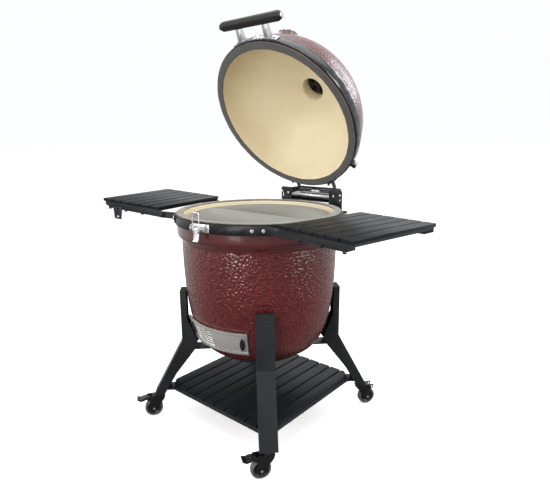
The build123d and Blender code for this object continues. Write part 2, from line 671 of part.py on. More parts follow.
with BuildPart() as bowl_cradle:
    with BuildSketch(Plane.XY.offset(300)):
        Circle(168)
        Circle(112, mode=Mode.SUBTRACT)
    extrude(amount=14)
    with BuildSketch(Plane.XY.offset(308)):
        with Locations(Location((0, 0, 0), (0, 0, 45))):
            Rectangle(2 * 340, LEG_W - 2 * LEG_T)
        with Locations(Location((0, 0, 0), (0, 0, 135))):
            Rectangle(2 * 340, LEG_W - 2 * LEG_T)
        Circle(112, mode=Mode.SUBTRACT)
    extrude(amount=6)
save(bowl_cradle, "bowl_cradle")

with BuildPart() as bowl_pads:
    for angle in (0, 45, 90, 135, 180, 225, 270, 315):
        with Locations(Location((0, 0, 0), (0, 0, angle))):
            with Locations((131, 0, 316)):
                Cylinder(14, 4)
save(bowl_pads, "bowl_pads")

with BuildPart() as lower_shelf_frame:
    z0 = LOW_SHELF_Z - 28
    with BuildSketch(Plane.XY.offset(z0)):
        Rectangle(2 * LOW_SHELF, 2 * LOW_SHELF)
        Rectangle(2 * LOW_SHELF - 44, 2 * LOW_SHELF - 44, mode=Mode.SUBTRACT)
        Rectangle(2 * LOW_SHELF - 20, 24)
        with GridLocations(2 * LOW_SHELF, 2 * LOW_SHELF, 2, 2):
            Rectangle(46, 46, rotation=45, mode=Mode.SUBTRACT)
    extrude(amount=16)
    # tabs that bolt to the inside of each leg
    for angle in (45, 135, 225, 315):
        with Locations(Location((0, 0, 0), (0, 0, angle))):
            with Locations((382, 0, z0 + 8)):
                Box(66, LEG_W - 2 * LEG_T, 5)
save(lower_shelf_frame, "lower_shelf_frame")

with BuildPart() as lower_shelf_slats:
    n, gap = 10, 7.0
    width = (2 * LOW_SHELF - (n - 1) * gap) / n
    for i in range(n):
        x = -LOW_SHELF + width / 2 + i * (width + gap)
        with BuildSketch(Plane.XY.offset(LOW_SHELF_Z - 12)):
            with Locations((x, 0)):
                Rectangle(width, 2 * LOW_SHELF - 2)
            with GridLocations(2 * LOW_SHELF, 2 * LOW_SHELF, 2, 2):
                Rectangle(50, 50, rotation=45, mode=Mode.SUBTRACT)
        extrude(amount=12)
    fillet(lower_shelf_slats.edges().filter_by(Axis.Y).group_by(Axis.Z)[-1], 2.0)
save(lower_shelf_slats, "lower_shelf_slats")

# ------------------------------------------------------------ side shelves
# Local frame of a shelf: U (+X) points outward, V (+Y) to the rear, origin on the bowl's axis.
FOLD_U, FOLD_Z = 352.0, 868.0
RIGHT = Location((0, 0, 0), (0, 0, SHELF_PSI - 90))
BAR_V = 192.0
LEFT_TILT = 3.5        # the left shelf stands this many degrees above level
LEFT_POSE = RIGHT * Location((FOLD_U, 0, FOLD_Z)) * Location((0, 0, 0), (0, -LEFT_TILT, 0)) * Location((-FOLD_U, 0, -FOLD_Z))
with BuildPart() as shelf_brackets_local:
    for side in (-1, 1):
        # plate that hugs the band, and the arm that leaves it
        with BuildSketch(Plane.XY.offset(852)):
            Circle(336.6)
            Circle(BAND_R + 0.3, mode=Mode.SUBTRACT)
            with BuildLine():
                Polyline((0, 0), (600 * math.cos(math.radians(31)), side * 600 * math.sin(math.radians(31))),
                         (600 * math.cos(math.radians(45.5)), side * 600 * math.sin(math.radians(45.5))), close=True)
            make_face(mode=Mode.INTERSECT)
        extrude(amount=30)
        with BuildSketch(Plane.XY.offset(856)):
            with Locations((316, side * (BAR_V - 9))):
                Rectangle(96, 5)
            Circle(BAND_R + 0.3, mode=Mode.SUBTRACT)
        extrude(amount=26)
        with Locations(Location((FOLD_U, side * (BAR_V - 9), FOLD_Z), (90, 0, 0))):
            Cylinder(5.05, 20, mode=Mode.SUBTRACT)
with BuildPart() as shelf_brackets:
    with Locations(RIGHT):
        add(shelf_brackets_local.part)
    mirror(about=Plane.YZ)
save(shelf_brackets, "shelf_brackets")

with BuildPart() as shelf_frame_local:
    for side in (-1, 1):
        with BuildSketch(Plane.XZ.offset(-side * (BAR_V - 2.5))):
            with BuildLine():
                Polyline((342, 858), (342, 878), (354, 888), (672, 888), (672, 872), (640, 860), (360, 858), close=True)
            make_face()
        extrude(amount=2, both=True)
        with Locations(Location((FOLD_U, side * (BAR_V - 9), FOLD_Z), (90, 0, 0))):
            Cylinder(5.0, 9.1)
        with Locations(Location((FOLD_U, side * (BAR_V - 12.7), FOLD_Z), (90, 0, 0))):
            Cylinder(8.0, 2)
    for u in (373, 514, 668):
        with Locations((u, 0, 884)):
            Box(8, 2 * (BAR_V - 4), 8)
    # small tool hooks under the front arm
    for u in (450, 545, 640):
        with Locations((u, -(BAR_V + 3.0), 858)):
            Box(9, 9, 3)
        with Locations((u, -(BAR_V + 6.5), 862)):
            Box(9, 2, 8)
with BuildPart() as right_shelf_frame:
    with Locations(RIGHT):
        add(shelf_frame_local.part)
save(right_shelf_frame, "right_shelf_frame")
left_frame_unmirrored = placed(shelf_frame_local, LEFT_POSE)
with BuildPart() as left_shelf_frame:
    mirror(left_frame_unmirrored.part, about=Plane.YZ)
save(left_shelf_frame, "left_shelf_frame")

with BuildPart() as slats_local:
    w = (SHELF_L - (SLAT_N - 1) * SLAT_GAP) / SLAT_N
    for i in range(SLAT_N):
        u = SHELF_IN + w / 2 + i * (w + SLAT_GAP)
        with Locations((u, 0, SHELF_Z - SLAT_H / 2)):
            Box(w, 2 * SHELF_HALF, SLAT_H)
    fillet(slats_local.edges().filter_by(Axis.Y).group_by(Axis.Z)[-1], 2.0)
with BuildPart() as right_shelf_slats:
    with Locations(RIGHT):
        add(slats_local.part)
save(right_shelf_slats, "right_shelf_slats")
left_slats_unmirrored = placed(slats_local, LEFT_POSE)
with BuildPart() as left_shelf_slats:
    mirror(left_slats_unmirrored.part, about=Plane.YZ)
save(left_shelf_slats, "left_shelf_slats")

OPENER_Z = 818.0       # lower edge of the bottle opener, before the tilt
with BuildPart() as opener_local:
    with BuildSketch(Plane.XZ.offset(BAR_V + 1.8)):
        with BuildLine():
            Polyline((567, 872), (621, 872), (613, OPENER_Z), (575, OPENER_Z), close=True)
        make_face()
        with Locations((594, OPENER_Z + 11)):
            SlotOverall(14, 6, mode=Mode.SUBTRACT)
    extrude(amount=3)
    with Locations(Location((595, -(BAR_V + 6.3), 866), (90, 0, 0))):
        Cylinder(4.5, 3)
opener_unmirrored = placed(opener_local, LEFT_POSE)
with BuildPart() as bottle_opener:
    mirror(opener_unmirrored.part, about=Plane.YZ)
save(bottle_opener, "bottle_opener")

with BuildPart() as lower_band_bolts:
    add(clamp_bolt((BAND_Z0 + BAND_Z1) / 2).part)
    for angle in (-52.0, -45.4):
        add(stud(0, angle, 867, seat=336.8).part)
        add(stud(0, -180 - angle, 867, seat=336.8).part)
    for angle in (32.0, 25.4):
        add(stud(0, angle, 867, head_r=5.5, seat=336.8).part)
        add(stud(0, 180 - angle, 867, head_r=5.5, seat=336.8).part)
    for angle in (90 - 13, 90 + 13):
        add(stud(0, angle, 867, seat=336.8).part)
    for x in (126, -126, 160, -160):
        z = 917 if abs(x) < 140 else 922
        with Locations(Location((x, 343.2, z), (90, 0, 0))):
            Cylinder(5.0, 3.4)
save(lower_band_bolts, "lower_band_bolts")

# ------------------------------------------------------------ casters
# Local frame: origin on the swivel axis at floor level, the wheel trails along -X.
CASTERS = {"fl": (-CASTER_XY, -CASTER_XY, 56.0), "fr": (CASTER_XY, -CASTER_XY, 56.0), "rr": (CASTER_XY, CASTER_XY, 236.0), "rl": (-CASTER_XY, CASTER_XY, 236.0)}
FORK_IN, FORK_T, AXLE_R = 14.0, 3.0, 5.0
BRAKE_X, BRAKE_Z = -50.0, 84.0   # where the brake pedal turns in the fork
with BuildPart() as fork_local:
    for side in (-1, 1):
        with BuildSketch(Plane.XZ.offset(-side * (FORK_IN + FORK_T / 2))):
            with BuildLine():
                Polyline((20, 94), (-55, 94), (-58, 90), (-58, 80), (-54, 76), (-45, 74), (-42, 34), (-36, 27), (-24, 27), (-18, 34), (16, 78), close=True)
            make_face()
        extrude(amount=FORK_T / 2, both=True)
    with Locations((-8, 0, 92)):
        Box(56, 2 * (FORK_IN + FORK_T), 5)
    with Locations((0, 0, 96.5)):
        Cylinder(19, 6)
    with Locations(Location((-CASTER_TRAIL, 0, WHEEL_R), (90, 0, 0))):
        Cylinder(AXLE_R, 2 * (FORK_IN + FORK_T) + 8)
        for y in (-1, 1):
            with Locations((0, 0, y * (FORK_IN + FORK_T + 2.5))):
                Cylinder(7.5, 4)
    with Locations((0, 0, 95)):
        Cylinder(5.06, 30, mode=Mode.SUBTRACT)
    with Locations(Location((BRAKE_X, 0, BRAKE_Z), (90, 0, 0))):
        Cylinder(4.06, 60, mode=Mode.SUBTRACT)
with BuildPart() as wheel_local:
    with Locations(Location((-CASTER_TRAIL, 0, WHEEL_R), (90, 0, 0))):
        Cylinder(WHEEL_R, 24)
    fillet(wheel_local.edges().filter_by(GeomType.CIRCLE), 5.0)
    with Locations(Location((-CASTER_TRAIL, 0, WHEEL_R), (90, 0, 0))):
        with Locations((0, 0, 12), (0, 0, -12)):
            Cylinder(25, 8, mode=Mode.SUBTRACT)
        Cylinder(9, 26)
        Cylinder(AXLE_R + 0.06, 40, mode=Mode.SUBTRACT)
with BuildPart() as brake_local:
    with Locations(Location((BRAKE_X, 0, BRAKE_Z), (90, 0, 0))):
        Cylinder(4, 36)
        Cylinder(6.5, 27)
    with BuildSketch(Plane.XZ):
        with BuildLine():
            Polyline((-50, 80), (-50, 88), (-62, 92), (-82, 84), (-96, 88), (-98, 85), (-84, 76), (-70, 78), close=True)
        make_face()
    extrude(amount=13.5, both=True)
    with BuildSketch(Plane.XZ):
        with BuildLine():
            Polyline((-66, 90.4), (-82, 84), (-96, 88), (-98, 85), (-84, 76), (-70, 78), (-66, 78.4), close=True)
        make_face()
    extrude(amount=18, both=True)
with BuildPart() as caster_top_plates:
    for name, (x, y, turn) in CASTERS.items():
        with Locations((x, y, 102.4)):
            Cylinder(21, 5.2)
        with Locations((x, y, 101)):
            Cylinder(5.0, 36)
        with Locations((x, y, 85)):
            Cylinder(8.5, 4)
save(caster_top_plates, "caster_top_plates")

for name, (x, y, turn) in CASTERS.items():
    where = Location((x, y, 0), (0, 0, turn))
    fork = placed(fork_local, where)
    save(fork, f"caster_fork_{name}")
    wheel = placed(wheel_local, where)
    save(wheel, f"caster_wheel_{name}")
    if name in ("fl", "fr"):
        brake = placed(brake_local, where)
        save(brake, f"caster_brake_{name}")
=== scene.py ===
import json
import math
import bpy
import bmesh
import numpy as np
from mathutils import Vector, Matrix


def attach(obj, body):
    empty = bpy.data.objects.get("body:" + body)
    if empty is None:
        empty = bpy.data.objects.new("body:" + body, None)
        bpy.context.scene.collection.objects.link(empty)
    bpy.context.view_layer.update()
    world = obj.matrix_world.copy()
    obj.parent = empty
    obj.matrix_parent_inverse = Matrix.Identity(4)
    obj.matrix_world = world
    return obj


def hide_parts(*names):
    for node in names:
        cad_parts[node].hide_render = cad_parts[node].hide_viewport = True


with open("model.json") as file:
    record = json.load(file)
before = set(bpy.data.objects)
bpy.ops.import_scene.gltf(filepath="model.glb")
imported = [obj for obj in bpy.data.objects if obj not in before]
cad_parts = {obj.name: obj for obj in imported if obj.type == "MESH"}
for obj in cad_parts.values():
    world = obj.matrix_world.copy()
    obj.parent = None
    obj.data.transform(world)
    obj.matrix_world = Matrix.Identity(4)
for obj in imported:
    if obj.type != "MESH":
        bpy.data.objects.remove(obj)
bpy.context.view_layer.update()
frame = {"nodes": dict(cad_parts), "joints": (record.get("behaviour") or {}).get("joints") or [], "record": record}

# Kamado ceramic grill, lid open. Metres; -Y is the front, +X the user's right.
# Helper arguments called mm are millimetres in the same frame.

NODES = frame["nodes"]
JOINT = {j["name"]: j for j in frame["joints"]}
BODY_OF = {n: b for b, ns in frame["record"]["behaviour"]["bodies"].items() for n in ns}
SLOT_OF = {s["node"]: s["material_slot"] for s in frame["record"]["subparts"]}
col = bpy.context.scene.collection
rng = np.random.default_rng(7)

# ---------------------------------------------------------------- camera
cam_d = bpy.data.cameras.new("view_camera")
cam = bpy.data.objects.new("view_camera", cam_d)
col.objects.link(cam)
az, el, roll = math.radians(40.44), math.radians(13.52), -0.0073729
back = Vector((math.sin(az) * math.cos(el), -math.cos(az) * math.cos(el), math.sin(el)))
right = (-back).cross(Vector((0, 0, 1))).normalized()
up = right.cross(-back)
r2 = right * math.cos(roll) + up * math.sin(roll)
u2 = -right * math.sin(roll) + up * math.cos(roll)
cam.matrix_world = Matrix(((r2.x, u2.x, back.x, 1.2971), (r2.y, u2.y, back.y, -1.4254), (r2.z, u2.z, back.z, 1.1844), (0, 0, 0, 1)))
cam_d.sensor_width = 36.0
cam_d.lens = 483.08 / 550 * 36.0
cam_d.clip_start = 0.05
bpy.context.scene.camera = cam

# ---------------------------------------------------------------- materials
def srgb(h):
    h = h.lstrip("#")
    out = []
    for i in (0, 2, 4):
        c = int(h[i:i + 2], 16) / 255
        out.append(c / 12.92 if c <= 0.04045 else ((c + 0.055) / 1.055) ** 2.4)
    return (*out, 1.0)


class Mat:
    """A small wrapper for building a node material."""

    def __init__(self, name, **sockets):
        self.m = bpy.data.materials.new(name)
        self.m.use_nodes = True
        self.t = self.m.node_tree
        self.b = self.t.nodes["Principled BSDF"]
        for k, v in sockets.items():
            self.b.inputs[k.replace("_", " ")].default_value = v
        self.coord = self.node("ShaderNodeTexCoord")

    def node(self, kind, **props):
        n = self.t.nodes.new(kind)
        for k, v in props.items():
            if k in n.inputs:
                n.inputs[k].default_value = v
            else:
                setattr(n, k, v)
        return n

    def link(self, a, b):
        self.t.links.new(a, b)

    def mapping(self, scale=(1, 1, 1), rot=(0, 0, 0)):
        m = self.node("ShaderNodeMapping")
        m.inputs["Scale"].default_value = scale
        m.inputs["Rotation"].default_value = rot
        self.link(self.coord.outputs["Object"], m.inputs["Vector"])
        return m.outputs["Vector"]

    def noise(self, scale, detail=3.0, rough=0.5, vec=None):
        n = self.node("ShaderNodeTexNoise")
        n.inputs["Scale"].default_value = scale
        n.inputs["Detail"].default_value = detail
        n.inputs["Roughness"].default_value = rough
        self.link(vec or self.coord.outputs["Object"], n.inputs["Vector"])
        return n.outputs["Fac"]

    def ramp(self, fac, stops):
        r = self.node("ShaderNodeValToRGB")
        while len(r.color_ramp.elements) < len(stops):
            r.color_ramp.elements.new(0.5)
        for e, (p, c) in zip(r.color_ramp.elements, stops):
            e.position = p
            e.color = c if len(c) == 4 else (*c, 1)
        self.link(fac, r.inputs["Fac"])
        return r.outputs["Color"]

    def grey(self, fac, lo, hi):
        r = self.node("ShaderNodeMapRange")
        r.inputs["To Min"].default_value = lo
        r.inputs["To Max"].default_value = hi
        self.link(fac, r.inputs["Value"])
        return r.outputs["Result"]

    def bump(self, height, strength, distance, chain=None):
        n = self.node("ShaderNodeBump")
        n.inputs["Strength"].default_value = strength
        n.inputs["Distance"].default_value = distance
        self.link(height, n.inputs["Height"])
        if chain is not None:
            self.link(chain, n.inputs["Normal"])
        return n.outputs["Normal"]

    def color(self, out):
        self.link(out, self.b.inputs["Base Color"])

    def rough(self, out):
        self.link(out, self.b.inputs["Roughness"])

    def normal(self, out):
        self.link(out, self.b.inputs["Normal"])

    def mix(self, fac, a, b, mode="MIX"):
        n = self.node("ShaderNodeMix", data_type="RGBA", blend_type=mode)
        if isinstance(fac, float):
            n.inputs[0].default_value = fac
        else:
            self.link(fac, n.inputs[0])
        for sock, v in ((n.inputs[6], a), (n.inputs[7], b)):
            if isinstance(v, tuple):
                sock.default_value = v
            else:
                self.link(v, sock)
        return n.outputs[2]


def glaze(name, dimpled):
    m = Mat(name, Coat_Weight=0.4, Coat_Roughness=0.10, Specular_IOR_Level=0.5)
    big = m.noise(5.0, 2.0)
    fine = m.noise(60.0, 4.0, 0.6)
    if dimpled:
        cells = m.node("ShaderNodeTexVoronoi", feature="SMOOTH_F1")
        cells.inputs["Scale"].default_value = 92.0
        cells.inputs["Smoothness"].default_value = 0.25
        m.link(m.coord.outputs["Object"], cells.inputs["Vector"])
        base = m.ramp(big, [(0.30, srgb("#642321")), (0.62, srgb("#702a28"))])
        # painted shade: the glaze colour is multiplied darker towards each pebble's cell edge, standing in for shade
        # in the grooves between pebbles
        painted_groove_shade = m.ramp(cells.outputs["Distance"], [(0.10, (1.0, 1.0, 1.0)), (0.62, (0.55, 0.48, 0.48))])
        m.color(m.mix(0.25, m.mix(1.0, base, painted_groove_shade, "MULTIPLY"), m.ramp(fine, [(0.35, srgb("#33090a")), (0.70, srgb("#7c2a25"))])))
        m.rough(m.grey(fine, 0.16, 0.30))
        pebble = m.grey(cells.outputs["Distance"], 1.0, 0.0)
        m.normal(m.bump(pebble, 0.60, 0.0036, m.bump(m.noise(240.0, 3.0, 0.55), 0.15, 0.0005)))
    else:
        base = m.ramp(big, [(0.30, srgb("#4b1a1b")), (0.62, srgb("#562223"))])
        speck = m.ramp(fine, [(0.35, srgb("#3d1214")), (0.70, srgb("#6a2c2b"))])
        m.color(m.mix(0.2, base, speck))
        m.rough(m.grey(fine, 0.14, 0.24))
        m.normal(m.bump(m.noise(240.0, 3.0, 0.55), 0.10, 0.0006))
    return m.m


def clay(name, c0, c1, rough0=0.55, rough1=0.75):
    m = Mat(name, Specular_IOR_Level=0.35)
    big = m.noise(6.0, 3.0)
    base = m.ramp(big, [(0.30, srgb(c0)), (0.70, srgb(c1))])
    spot = m.ramp(m.noise(120.0, 5.0, 0.7), [(0.25, srgb("#a98f62")), (0.36, srgb("#ffffff"))])
    m.color(m.mix(0.30, base, m.mix(1.0, base, spot, "MULTIPLY")))
    m.rough(m.grey(m.noise(60.0), rough0, rough1))
    m.normal(m.bump(m.noise(420.0, 4.0, 0.6), 0.22, 0.0006, m.bump(m.noise(22.0, 2.0), 0.25, 0.002)))
    return m.m


def felt(name, c0, c1):
    m = Mat(name, Roughness=0.92, Specular_IOR_Level=0.15, Sheen_Weight=0.35, Sheen_Roughness=0.6)
    fib = m.noise(900.0, 6.0, 0.75, m.mapping((1, 1, 2.5)))
    m.color(m.mix(0.4, m.ramp(m.noise(30.0, 3.0), [(0.3, srgb(c0)), (0.7, srgb(c1))]), m.ramp(fib, [(0.35, srgb("#2a2927")), (0.7, srgb("#8a8780"))])))
    m.normal(m.bump(fib, 0.8, 0.0014, m.bump(m.noise(90.0, 3.0), 0.35, 0.002)))
    return m.m


def powder(name, c0, c1, rough0=0.34, rough1=0.46, spec=0.28, bump=0.18):
    m = Mat(name, Specular_IOR_Level=spec)
    peel = m.noise(520.0, 3.0, 0.55)
    grain = m.node("ShaderNodeTexVoronoi", feature="F1")
    grain.inputs["Scale"].default_value = 900.0
    m.link(m.coord.outputs["Object"], grain.inputs["Vector"])
    m.color(m.mix(0.25, m.ramp(m.noise(9.0, 3.0), [(0.3, srgb(c0)), (0.7, srgb(c1))]), m.ramp(peel, [(0.3, srgb("#0e1012")), (0.75, srgb("#2e3238"))])))
    m.rough(m.grey(m.noise(40.0, 3.0), rough0, rough1))
    m.normal(m.bump(peel, bump, 0.0005, m.bump(grain.outputs["Distance"], bump * 0.4, 0.0004)))
    return m.m


def metal(name, c0, c1, rough0, rough1, brush=(1, 1, 60), amount=0.25, aniso=0.0, metallic=1.0):
    m = Mat(name, Metallic=metallic, Anisotropic=aniso)
    lines = m.noise(60.0, 4.0, 0.6, m.mapping(brush))
    m.color(m.ramp(lines, [(0.25, srgb(c0)), (0.75, srgb(c1))]))
    m.rough(m.grey(lines, rough0, rough1))
    m.normal(m.bump(lines, amount, 0.0003, m.bump(m.noise(14.0, 2.0), 0.06, 0.002)))
    return m.m


def plastic(name, c0, c1, rough0=0.35, rough1=0.5, scale=300.0):
    m = Mat(name, Specular_IOR_Level=0.5)
    m.color(m.ramp(m.noise(18.0, 3.0), [(0.3, srgb(c0)), (0.7, srgb(c1))]))
    m.rough(m.grey(m.noise(70.0, 3.0), rough0, rough1))
    m.normal(m.bump(m.noise(scale, 4.0, 0.6), 0.18, 0.0005))
    return m.m


M_GLAZE = glaze("glaze_dimpled", True)
M_LIP = glaze("glaze_smooth", False)
M_CREAM = clay("fire_clay_cream", "#ebddbc", "#f3e8cb")
M_CLAY = clay("fire_clay_warm", "#dcc794", "#eadbb0")
M_FELT_LID = felt("felt_dark", "#3b3b3a", "#4b4a48")
M_FELT_BASE = felt("felt_light", "#6f6b62", "#8d877b")
M_POWDER = powder("powder_charcoal", "#1d1f22", "#282a2e")
M_POWDER_SLAT = powder("powder_slats", "#101215", "#1a1d21", 0.32, 0.44, 0.10)
M_BAND = powder("powder_band", "#0f1114", "#181b20", 0.16, 0.24, 0.8, 0.03)
M_BAND_LOW = powder("powder_band_low", "#0f1114", "#1a1d22", 0.30, 0.40, 0.25, 0.05)
M_STEEL = metal("stainless_brushed", "#b4b3b0", "#dcdbd8", 0.26, 0.38, (1, 1, 30), 0.20, 0.3, 0.6)
M_STEEL_X = metal("stainless_brushed_x", "#a6a6a6", "#d6d6d4", 0.20, 0.34, (2, 30, 30), 0.20, 0.3)
M_BRIGHT = metal("bright_plate", "#c4c4c5", "#ececec", 0.14, 0.26, (8, 8, 8), 0.08, 0.0, 0.75)
M_ALU = metal("aluminium_satin", "#a6a7a9", "#cfd0d2", 0.28, 0.40, (30, 4, 4), 0.15)
M_SPRING = metal("spring_steel", "#4c4c4e", "#77777a", 0.28, 0.42, (6, 6, 6), 0.1)
M_WIRE = metal("grate_wire", "#8e908d", "#b0b1ad", 0.50, 0.62, (10, 10, 10), 0.12, 0.0, 0.4)
M_IRON = plastic("cast_iron_black", "#131313", "#222120", 0.5, 0.72, 200.0)
M_VENT = plastic("vent_iron", "#161617", "#242426", 0.38, 0.55, 260.0)
M_GRIP = plastic("grip_black", "#0e0b0a", "#1b1512", 0.42, 0.58, 160.0)
M_RUBBER = plastic("rubber_black", "#121212", "#1d1d1e", 0.6, 0.8, 500.0)
M_CASTER = plastic("caster_black", "#0d0d0e", "#19191b", 0.25, 0.40, 380.0)
M_TREAD = plastic("tread_grey", "#4a4a4b", "#68686a", 0.55, 0.7, 420.0)
M_DIAL = plastic("dial_white", "#e4e3de", "#f0efeb", 0.4, 0.5, 500.0)
M_INK = plastic("dial_ink", "#111111", "#1b1b1b", 0.5, 0.6, 500.0)
M_RED = plastic("needle_red", "#8d120f", "#a81a14", 0.35, 0.45, 500.0)
glass = Mat("clear_glass", Roughness=0.03, IOR=1.45, Transmission_Weight=1.0)
glass.color(glass.ramp(glass.noise(3.0), [(0.0, (0.96, 0.98, 0.98)), (1.0, (1, 1, 1))]))
M_GLASS = glass.m

# ---------------------------------------------------------------- helpers
HY, HZ = 392.5, 927.0
OPEN = Matrix.Translation((0, HY, HZ)) @ Matrix.Rotation(math.radians(-57), 4, "X") @ Matrix.Translation((0, -HY, -HZ))
MM = Matrix.Scale(0.001, 4)
OPEN_M = MM @ OPEN


def mesh_obj(name, verts, faces, mats, mat_index=None, place=MM, smooth=True):
    me = bpy.data.meshes.new(name)
    me.from_pydata([tuple(v) for v in verts], [], faces)
    me.transform(place)
    for m in mats:
        me.materials.append(m)
    if mat_index is not None:
        me.polygons.foreach_set("material_index", np.asarray(mat_index, dtype=np.int32))
    me.polygons.foreach_set("use_smooth", [smooth] * len(me.polygons))
    me.update()
    o = bpy.data.objects.new(name, me)
    col.objects.link(o)
    return o


def give(o, body, slot=None, nodes=()):
    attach(o, body)
    if nodes:
        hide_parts(*nodes)
        slot = slot or SLOT_OF[nodes[0]]
    return o


def catmull(pts, n):
    """n points along a centripetal Catmull-Rom curve through pts."""
    p = [np.array(q, float) for q in pts]
    p = [2 * p[0] - p[1]] + p + [2 * p[-1] - p[-2]]
    seg = []
    for i in range(1, len(p) - 2):
        seg.append(np.linalg.norm(p[i + 1] - p[i]))
    total, out = sum(seg), []
    for k in range(n):
        s = total * k / (n - 1)
        i = 0
        while i < len(seg) - 1 and s > seg[i]:
            s -= seg[i]
            i += 1
        t = s / seg[i]
        p0, p1, p2, p3 = p[i], p[i + 1], p[i + 2], p[i + 3]
        t0 = 0.0
        t1 = t0 + np.linalg.norm(p1 - p0) ** 0.5
        t2 = t1 + np.linalg.norm(p2 - p1) ** 0.5
        t3 = t2 + np.linalg.norm(p3 - p2) ** 0.5
        u = t1 + (t2 - t1) * t
        a1 = (t1 - u) / (t1 - t0) * p0 + (u - t0) / (t1 - t0) * p1
        a2 = (t2 - u) / (t2 - t1) * p1 + (u - t1) / (t2 - t1) * p2
        a3 = (t3 - u) / (t3 - t2) * p2 + (u - t2) / (t3 - t2) * p3
        b1 = (t2 - u) / (t2 - t0) * a1 + (u - t0) / (t2 - t0) * a2
        b2 = (t3 - u) / (t3 - t1) * a2 + (u - t1) / (t3 - t1) * a3
        out.append(tuple((t2 - u) / (t2 - t1) * b1 + (u - t1) / (t2 - t1) * b2))
    return out


def rounded(poly, radii, steps=4):
    """Round the corners of an open or closed (r, z) polygon; radii is one per corner, 0 keeps it sharp."""
    n, out = len(poly), []
    for i in range(n):
        p, a, b = np.array(poly[i], float), np.array(poly[i - 1], float), np.array(poly[(i + 1) % n], float)
        r = radii[i] if hasattr(radii, "__len__") else radii
        if r <= 0:
            out.append(tuple(p))
            continue
        da, db = (a - p), (b - p)
        la, lb = np.linalg.norm(da), np.linalg.norm(db)
        k = min(r, la * 0.45, lb * 0.45)
        pa, pb = p + da / la * k, p + db / lb * k
        for s in range(steps + 1):
            t = s / steps
            out.append(tuple((1 - t) ** 2 * pa + 2 * t * (1 - t) * p + t * t * pb))
    return out


def lathe(name, prof, n, mats, index=None, place=MM, closed=True, centre=(0, 0), shape=None):
    """Revolve (r, z) points about Z. closed joins the last point to the first; shape(theta, k) may move points out."""
    verts, faces, idx = [], [], []
    k = len(prof)
    th = np.arange(n) * 2 * math.pi / n
    P = np.array(prof, float)
    R = np.repeat(P[:, 0][:, None], n, 1)
    Z = np.repeat(P[:, 1][:, None], n, 1)
    if shape is not None:
        dR, dZ = shape(th, P)
        R, Z = R + dR, Z + dZ
    ring = []
    for i in range(k):
        if P[i, 0] < 1e-6:
            ring.append([len(verts)] * n)
            verts.append((centre[0], centre[1], P[i, 1]))
        else:
            start = len(verts)
            verts += [(centre[0] + R[i, j] * math.cos(th[j]), centre[1] + R[i, j] * math.sin(th[j]), Z[i, j]) for j in range(n)]
            ring.append(list(range(start, start + n)))
    pairs = [(i, i + 1) for i in range(k - 1)] + ([(k - 1, 0)] if closed else [])
    for a, b in pairs:
        for j in range(n):
            q = [ring[a][j], ring[a][(j + 1) % n], ring[b][(j + 1) % n], ring[b][j]]
            f = []
            for v in q:
                if v not in f:
                    f.append(v)
            if len(f) > 2:
                faces.append(f)
                idx.append(index[a] if index is not None else 0)
    return mesh_obj(name, verts, faces, mats, idx, place)


def dimples(th, s, r_ref, cell=11.0, seed=3):
    """Hammered relief, -1 to 1, on a grid of angle by path length s."""
    g = np.random.default_rng(seed)
    nu = int(round(2 * math.pi * r_ref / cell))
    v = s / cell
    nv = int(v.max()) + 4
    jit = g.random((nv + 4, nu, 2)) * 0.8 + 0.1
    u = th / (2 * math.pi) * nu
    U, V = np.meshgrid(u, v)
    iu, iv = np.floor(U).astype(int), np.floor(V).astype(int)
    best = np.full(U.shape, 9.0)
    second = np.full(U.shape, 9.0)
    for du in (-1, 0, 1):
        for dv in (-1, 0, 1):
            cu, cv = iu + du, iv + dv
            jj = jit[np.clip(cv + 1, 0, nv + 3), cu % nu]
            d = np.hypot(cu + jj[..., 0] - U, cv + jj[..., 1] - V)
            second = np.minimum(np.maximum(best, d), second)
            best = np.minimum(best, d)
    return np.clip((second - best) * 1.6, 0, 1) * 2 - 1


def bevelled(node, mat, width=0.8, angle=28, seg=2, extra=None):
    """A softened copy of a CAD node: flat faces merged, edges rounded, in the node's place."""
    src = NODES[node]
    me = src.data.copy()
    me.name = "soft_" + node
    bm = bmesh.new()
    bm.from_mesh(me)
    bmesh.ops.remove_doubles(bm, verts=bm.verts, dist=2e-6)
    bmesh.ops.dissolve_limit(bm, angle_limit=math.radians(0.8), verts=bm.verts, edges=bm.edges)
    if extra:
        extra(bm)
    bm.to_mesh(me)
    bm.free()
    me.materials.clear()
    for m in (mat if isinstance(mat, (list, tuple)) else [mat]):
        me.materials.append(m)
    me.polygons.foreach_set("use_smooth", [True] * len(me.polygons))
    me.polygons.foreach_set("material_index", [0] * len(me.polygons))
    o = bpy.data.objects.new("soft_" + node, me)
    col.objects.link(o)
    if width > 0:
        b = o.modifiers.new("edge", "BEVEL")
        b.width = width / 1000
        b.segments = seg
        b.limit_method = "ANGLE"
        b.angle_limit = math.radians(angle)
        b.use_clamp_overlap = True
        b.harden_normals = True
    else:
        me.set_sharp_from_angle(angle=math.radians(angle))
    return give(o, BODY_OF[node], nodes=(node,))


